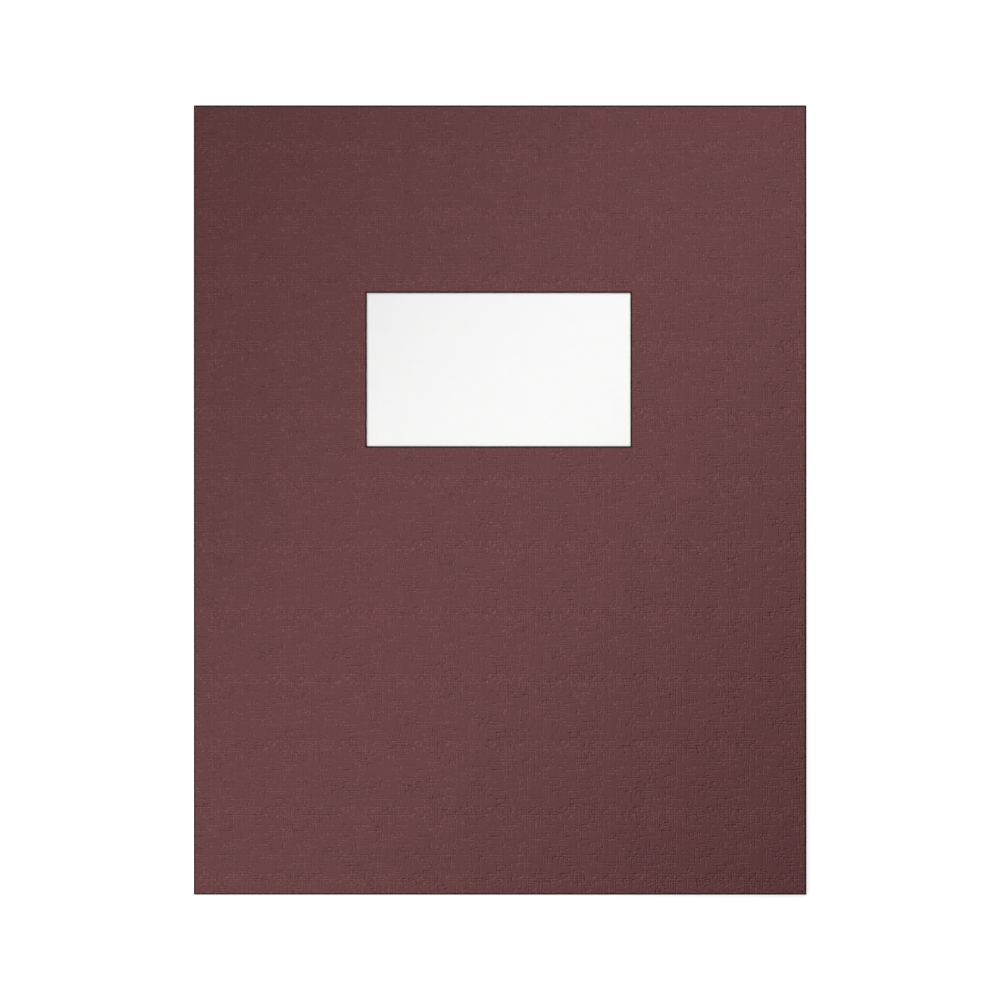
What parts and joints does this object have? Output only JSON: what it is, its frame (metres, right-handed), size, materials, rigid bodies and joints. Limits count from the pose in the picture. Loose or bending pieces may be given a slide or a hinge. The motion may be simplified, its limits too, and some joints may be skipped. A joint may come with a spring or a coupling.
{
  "type": "presentation folder",
  "caption": "Folded linen-embossed card cover with a rectangular title window, a glued inside pocket and a loose white title page; the front cover opens at the spine crease.",
  "frame": {"origin": "middle of the closed folder's outline, on the outer face of the back cover that it lies on", "axes": "+Z out of the front cover, +Y from the bottom edge to the top edge, +X from the spine to the open side"},
  "size_m": [0.222, 0.286, 0.002],
  "materials": {
    "cover_stock": "linen-embossed burgundy cover stock, coloured through, matt with a faint sheen",
    "title_paper": "plain white uncoated writing paper"
  },
  "bodies": {
    "back": {"back_cover": "cover_stock", "pocket_flap": "cover_stock", "title_sheet": "title_paper"},
    "front": {"front_cover": "cover_stock"}
  },
  "joints": [
    {"name": "cover_hinge", "type": "hinge", "parent": "back", "child": "front", "pos_m": [-0.111, 0, 0.00102], "axis": [0, -1, 0], "range_deg": [0, 179.9]}
  ]
}
